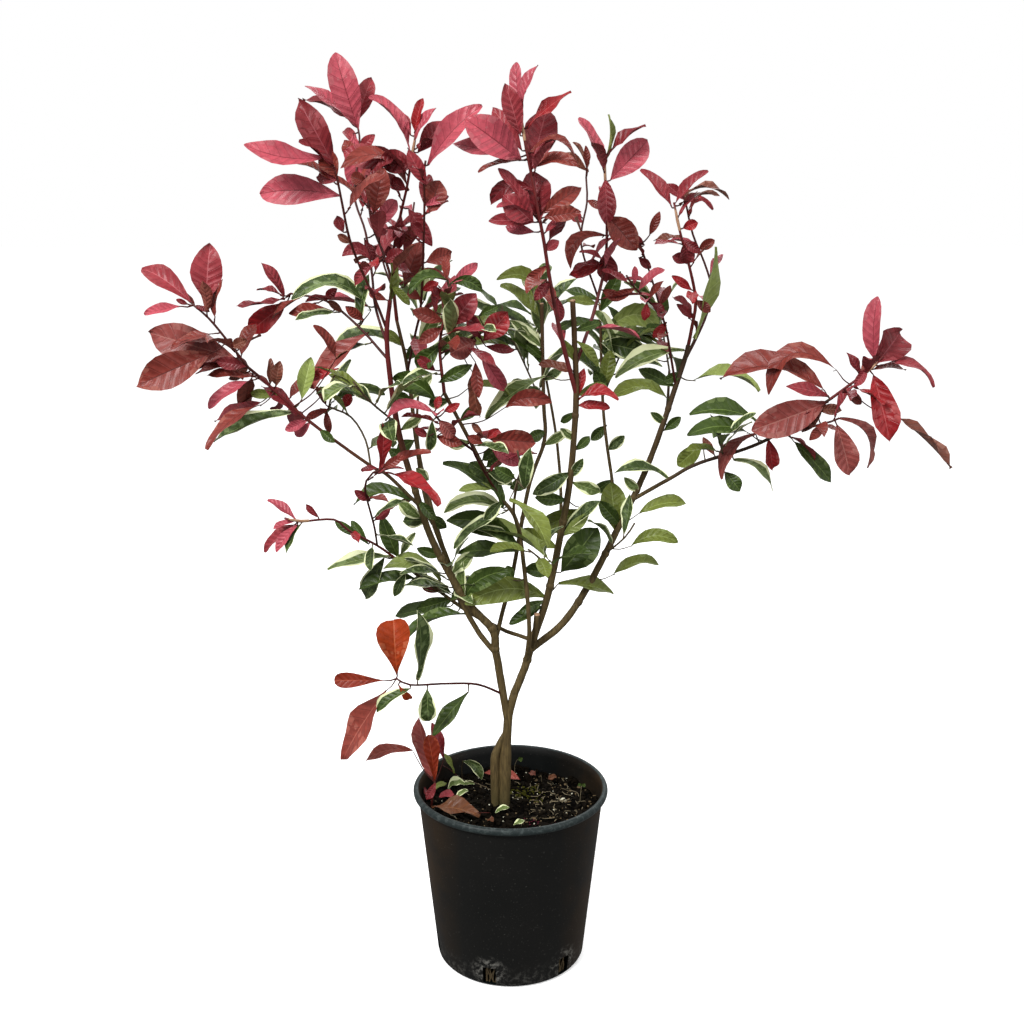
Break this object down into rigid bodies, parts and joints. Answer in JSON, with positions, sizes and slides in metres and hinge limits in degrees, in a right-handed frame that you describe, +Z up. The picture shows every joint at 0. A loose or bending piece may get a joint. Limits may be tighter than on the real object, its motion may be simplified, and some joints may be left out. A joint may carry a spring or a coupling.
{
  "type": "potted red tip photinia",
  "caption": "Evergreen shrub with red young leaves and cream-edged green ones on forked stems, growing in a round plastic nursery pot.",
  "frame": {"origin": "centre of the flat underside of the pot", "axes": "+Z up along the pot's axis, +X to the right seen from the front, -Y towards the front"},
  "size_m": [0.9514, 0.5268, 1.1762],
  "materials": {
    "bark": "olive-brown young bark",
    "green_leaves": "green leaves with cream edges",
    "red_leaves": "wine red young leaves",
    "pot": "satin, scuffed black",
    "soil": "dark moist bark mix"
  },
  "bodies": {
    "root": {"back_bough": "bark", "back_centre_bough": "bark", "back_centre_foliage": "green_leaves", "back_foliage": "green_leaves", "back_left_bough": "bark", "back_left_foliage": "green_leaves", "back_right_bough": "bark", "back_right_foliage": "green_leaves", "centre_bough": "bark", "centre_foliage": "red_leaves", "centre_right_foliage": "red_leaves", "far_left_foliage": "red_leaves", "front_bough": "bark", "front_foliage": "green_leaves", "left_arch_foliage": "red_leaves", "left_back_bough": "bark", "left_bough": "bark", "left_green_foliage": "green_leaves", "left_inner_foliage": "green_leaves", "left_leader": "bark", "left_low_foliage": "red_leaves", "left_spire_foliage": "red_leaves", "left_tip_foliage": "red_leaves", "long_left_bough": "bark", "long_right_bough": "bark", "low_centre_foliage": "green_leaves", "low_left_bough": "bark", "low_left_foliage": "red_leaves", "low_left_inner_foliage": "green_leaves", "low_shoot_foliage": "red_leaves", "middle_foliage": "red_leaves", "middle_front_foliage": "red_leaves", "middle_left_bough": "bark", "middle_low_foliage": "red_leaves", "pot": "pot", "right_back_bough": "bark", "right_back_foliage": "green_leaves", "right_bough": "bark", "right_far_foliage": "red_leaves", "right_green_foliage": "green_leaves", "right_inner_foliage": "red_leaves", "right_leader": "bark", "right_low_foliage": "green_leaves", "right_middle_foliage": "red_leaves", "right_outer_foliage": "red_leaves", "right_red_foliage": "red_leaves", "soil": "soil", "top_foliage": "red_leaves", "trunk": "bark", "upper_inner_foliage": "red_leaves", "upper_left_foliage": "red_leaves", "upper_middle_foliage": "red_leaves"}
  },
  "joints": []
}
